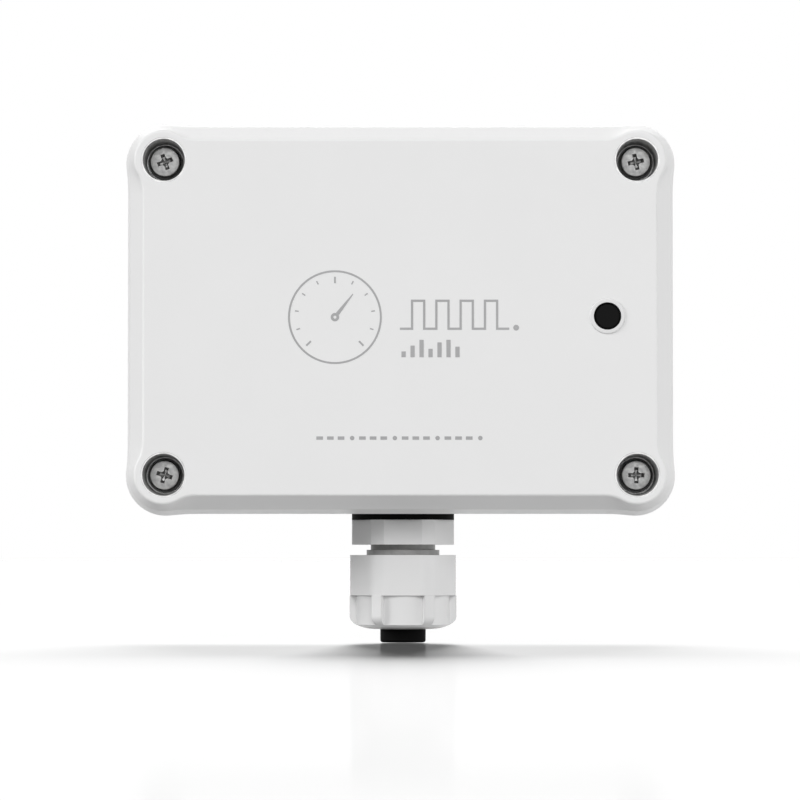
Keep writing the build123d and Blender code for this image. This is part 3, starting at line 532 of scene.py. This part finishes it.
def sweep_helix(builder, section, pitch, start, turns, per_turn, run_out=0.0):
    """Sweeps a section of (radius, z) points up a helix; its crest sinks to its root over run_out."""
    root = min(radius for radius, _ in section)
    steps = int(turns * per_turn)
    rows = []
    for i in range(steps + 1):
        angle = 2 * math.pi * i / per_turn
        fade = 1.0
        if run_out:
            fade = min(1.0, (i / per_turn) / run_out, (steps - i) / per_turn / run_out)
        rise = start + pitch * i / per_turn
        row = []
        for radius, z in section:
            reach = root + (radius - root) * max(fade, 0.02)
            row.append(builder.verts.new((reach * math.cos(angle), reach * math.sin(angle), rise + z)))
        rows.append(row)
    count = len(section)
    for first, second in zip(rows, rows[1:]):
        for i in range(count):
            j = (i + 1) % count
            builder.faces.new((first[i], first[j], second[j], second[i]))
    builder.faces.new(rows[0])
    builder.faces.new(rows[-1])


# ---- lid screws -----------------------------------------------------------------------------
def cross_cutter(span, arm, depth, top, taper):
    """A tapered cross with softened inner corners, for the recess of a screw head."""
    above, point = 0.5, 0.35         # past the head's top, and from the recess's floor to its tip
    builder = bmesh.new()
    half, side = span / 2, arm / 2
    web = side * 1.35 * 1.25         # where the inner corners are cut off
    quarter = [(half, -side), (half, side), (web, side), (side, web)]
    outline = []
    for i in range(4):
        turn = Matrix.Rotation(math.radians(90 * i), 2)
        outline += [turn @ Vector(p) for p in quarter]
    rows = []
    for z, shrink in ((top + above, 0.0), (top - depth, 1.0)):
        scale = 1 - shrink * taper
        rows.append([builder.verts.new((p.x * scale, p.y * scale, z)) for p in outline])
    tip = builder.verts.new((0, 0, top - depth - point))
    count = len(outline)
    for i in range(count):
        j = (i + 1) % count
        builder.faces.new((rows[0][i], rows[0][j], rows[1][j], rows[1][i]))
        builder.faces.new((rows[1][i], rows[1][j], tip))
    builder.faces.new(rows[0])
    bmesh.ops.recalc_face_normals(builder, faces=builder.faces)
    mesh = bpy.data.meshes.new("cross_cutter")
    builder.to_mesh(mesh)
    builder.free()
    cutter = bpy.data.objects.new("cross_cutter", mesh)
    bpy.context.scene.collection.objects.link(cutter)
    return cutter


def screw_head_mesh(radius, top_radius, side, height):
    """A pan head with a rolled rim, its cross recess cut out, standing on z = 0."""
    rim, crown, steps = 0.12, 0.04, 8
    recess_span, recess_arm, recess_depth, recess_taper = 3.5, 0.92, 1.15, 0.42
    builder = bmesh.new()
    profile = [(0, 0), (radius - rim, 0), (radius - 0.3 * rim, 0.3 * rim), (radius, rim), (radius, side)]
    for i in range(1, steps + 1):
        angle = math.radians(90 * i / steps)
        profile.append((top_radius + (radius - top_radius) * math.cos(angle),
                        side + (height - side) * math.sin(angle)))
    profile += [(top_radius * 0.55, height + crown * 0.7), (0, height + crown)]
    lathe(builder, profile, 72)
    bmesh.ops.recalc_face_normals(builder, faces=builder.faces)
    mesh = bpy.data.meshes.new("screw_head")
    builder.to_mesh(mesh)
    builder.free()
    head = bpy.data.objects.new("screw_head", mesh)
    bpy.context.scene.collection.objects.link(head)
    cutter = cross_cutter(recess_span, recess_arm, recess_depth, height, recess_taper)
    cut = head.modifiers.new("recess", "BOOLEAN")
    cut.operation = "DIFFERENCE"
    cut.solver = "EXACT"
    cut.object = cutter
    bpy.context.view_layer.update()
    evaluated = head.evaluated_get(bpy.context.evaluated_depsgraph_get())
    done = bpy.data.meshes.new_from_object(evaluated)
    bpy.data.objects.remove(head)
    bpy.data.objects.remove(cutter)
    return done


def lid_screws(materials):
    """Thread-forming pan-head screws in place of the plain ones, one for each corner."""
    turns = (12, 20, -17, 0)         # where each recess happened to stop, in degrees
    head_height, head_side, head_top_radius, below_top = 2.2, 0.75, 2.6, 0.04
    core, crest, collar, pitch, segments, run_out = 1.32, 1.75, 0.25, 1.35, 40, 0.5
    sunk, crest_half, root_half = 0.06, 0.07, 0.42       # the thread's foot, and half widths along the axis
    head = None
    for k, turn in enumerate(turns, start=1):
        node = f"lid_screw_{k}"
        low, high = [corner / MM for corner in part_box(node)]
        seat = -low.y - head_height
        tip = -high.y - seat
        if head is None:
            head = screw_head_mesh((high.x - low.x) / 2, head_top_radius, head_side, head_height - below_top)
        builder = bmesh.new()
        builder.from_mesh(head)
        shank = [(0, 0.3), (core + collar, 0.3), (core + collar, -0.9), (core, -1.1)]
        point = [(core, tip + 1.5), (0.7, tip + 0.15), (0.35, tip), (0, tip)]
        lathe(builder, shank + point, segments)
        section = [(core - sunk, -root_half), (crest, -crest_half),
                   (crest, crest_half), (core - sunk, root_half)]
        thread_low, thread_high = tip + 1.2, -1.3
        thread_turns = (thread_high - thread_low) / pitch
        sweep_helix(builder, section, pitch, thread_low, thread_turns, segments, run_out)
        bmesh.ops.rotate(builder, verts=builder.verts, matrix=Matrix.Rotation(math.radians(turn), 3, "Z"))
        place = ((low.x + high.x) / 2, -seat, (low.z + high.z) / 2)
        piece = add_piece(f"lid_screw_{k}_threaded", builder, materials["screw_steel"], node,
                          place, STAND_UP)
        shade_smooth(piece, 32)
        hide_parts(node)
    bpy.data.meshes.remove(head)


# ---- button spring -----------------------------------------------------------------------------
def button_spring(materials):
    """The return spring as a closed wire coil."""
    low, high = [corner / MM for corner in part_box("button_spring")]
    wire, sides, per_turn, pitch, travel = 0.35, 12, 48, 0.8, 0.4
    length = high.y - low.y
    middle = (high.x - low.x) / 2 - wire / 2
    turns = (length - wire) / pitch
    section = []
    for i in range(sides):
        angle = 2 * math.pi * i / sides
        section.append((middle + wire / 2 * math.cos(angle), wire / 2 * math.sin(angle)))
    builder = bmesh.new()
    sweep_helix(builder, section, pitch, wire / 2, turns, per_turn)
    place = ((low.x + high.x) / 2, high.y, (low.z + high.z) / 2)
    piece = add_piece("button_spring_coil", builder, materials["spring_steel"], "lid",
                      place, STAND_UP)
    shade_smooth(piece, 50)
    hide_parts("button_spring")
    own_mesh(piece)


# ---- print on the lid -----------------------------------------------------------------------------
def stroke(points, width, closed=False):
    """The four-sided patches of a line of even width through points, with mitred corners."""
    count = len(points)
    rims = []
    for i, point in enumerate(points):
        before = points[i - 1] if i or closed else None
        after = points[(i + 1) % count] if i < count - 1 or closed else None
        ways = [(Vector(b) - Vector(a)).normalized() for a, b in ((before, point), (point, after))
                if a is not None and b is not None]
        normals = [Vector((-w.y, w.x)) for w in ways]
        across = sum(normals, Vector((0, 0))).normalized()
        reach = width / 2 / max(across.dot(normals[0]), 0.3)
        rims.append((Vector(point) + across * reach, Vector(point) - across * reach))
    pairs = zip(rims, rims[1:] + rims[:1]) if closed else zip(rims, rims[1:])
    return [(a[0], a[1], b[1], b[0]) for a, b in pairs]


def arc(centre, radius, start, end, steps):
    """Points on an arc, with its angles in degrees from the x direction."""
    points = []
    for i in range(steps + 1):
        angle = math.radians(start + (end - start) * i / steps)
        points.append((centre[0] + radius * math.cos(angle), centre[1] + radius * math.sin(angle)))
    return points


def dial_print(centre, radius):
    """A gauge face: a ring, a scale of ticks and a needle on a hub."""
    line, needle_half, needle_angle = 0.36, 0.36, 52
    hub_radius, hub_width = 0.55, 0.5
    ticks, first, last = 11, 225, -45
    patches = stroke(arc(centre, radius, 0, 360, 72)[:-1], line, closed=True)
    for i in range(ticks):
        angle = math.radians(first + (last - first) * i / (ticks - 1))
        way = Vector((math.cos(angle), math.sin(angle)))
        start, width = (0.74, 0.34) if i % 5 == 0 else (0.80, 0.24)
        patches += stroke([tuple(Vector(centre) + way * (radius * start)),
                           tuple(Vector(centre) + way * radius * 0.88)], width)
    way = Vector((math.cos(math.radians(needle_angle)), math.sin(math.radians(needle_angle))))
    side = Vector((-way.y, way.x)) * needle_half
    root = Vector(centre) + way * (hub_radius + hub_width / 2)
    tip = Vector(centre) + way * radius * 0.64
    patches.append((root + side, root - side, tip - side * 0.25, tip + side * 0.25))
    patches += stroke(arc(centre, hub_radius, 0, 360, 24)[:-1], hub_width, closed=True)
    return patches


def pulse_print(left, low, high, right):
    """A square wave that starts and ends on its low level, with a dot after it."""
    pulses, line, dot_away, dot_up = 4, 0.42, 1.3, 0.2
    points = [(left, low)]
    step = (right - left) / (2 * pulses + 1)
    for i in range(pulses):
        rise = left + step * (2 * i + 1)
        points += [(rise, low), (rise, high), (rise + step, high), (rise + step, low)]
    points.append((right, low))
    dot = arc((right + dot_away, low + dot_up), 0.3, 0, 360, 20)[:-1]
    return stroke(points, line) + stroke(dot, 0.5, closed=True)


def bar_print(left, low, pitch, heights):
    """A small row of upright bars."""
    patches = []
    for i, height in enumerate(heights):
        x = left + pitch * i
        patches += stroke([(x, low), (x, low + height)], 0.8)
    return patches


def dash_print(left, level, pitch, count):
    """A row of short dashes with a dot after every third."""
    patches = []
    for i in range(count):
        x = left + pitch * i
        if i % 4 == 3:
            patches += stroke(arc((x + pitch * 0.35, level), 0.22, 0, 360, 16)[:-1], 0.4, closed=True)
        else:
            patches += stroke([(x, level), (x + pitch * 0.62, level)], 0.62)
    return patches


def lid_print(materials):
    """Generic marks printed on the lid: a gauge, a pulse train, bars and a row of dashes."""
    thickness = 0.03
    patches = dial_print((-12.4, 0.0), 8.7)
    patches += pulse_print(-0.1, -2.2, 3.1, 20.6)
    patches += bar_print(0.6, -7.6, 1.7, (1.1, 2.2, 3.3, 1.6, 2.8, 3.3, 2.0))
    patches += dash_print(-15.9, -22.9, 2.02, 16)
    builder = bmesh.new()
    for patch in patches:
        under = [builder.verts.new((p[0], p[1], 0)) for p in patch]
        over = [builder.verts.new((p[0], p[1], thickness)) for p in patch]
        builder.faces.new(over)
        builder.faces.new(list(reversed(under)))
        for i in range(4):
            j = (i + 1) % 4
            builder.faces.new((under[i], under[j], over[j], over[i]))
    add_piece("lid_print", builder, materials["print_ink"], "lid",
              (0, FRONT_Y, 0), STAND_UP)


make_camera()
make_studio()
make_floor()
all_materials = make_materials()
paint_nodes(all_materials)
lid_screws(all_materials)
button_spring(all_materials)
lid_print(all_materials)
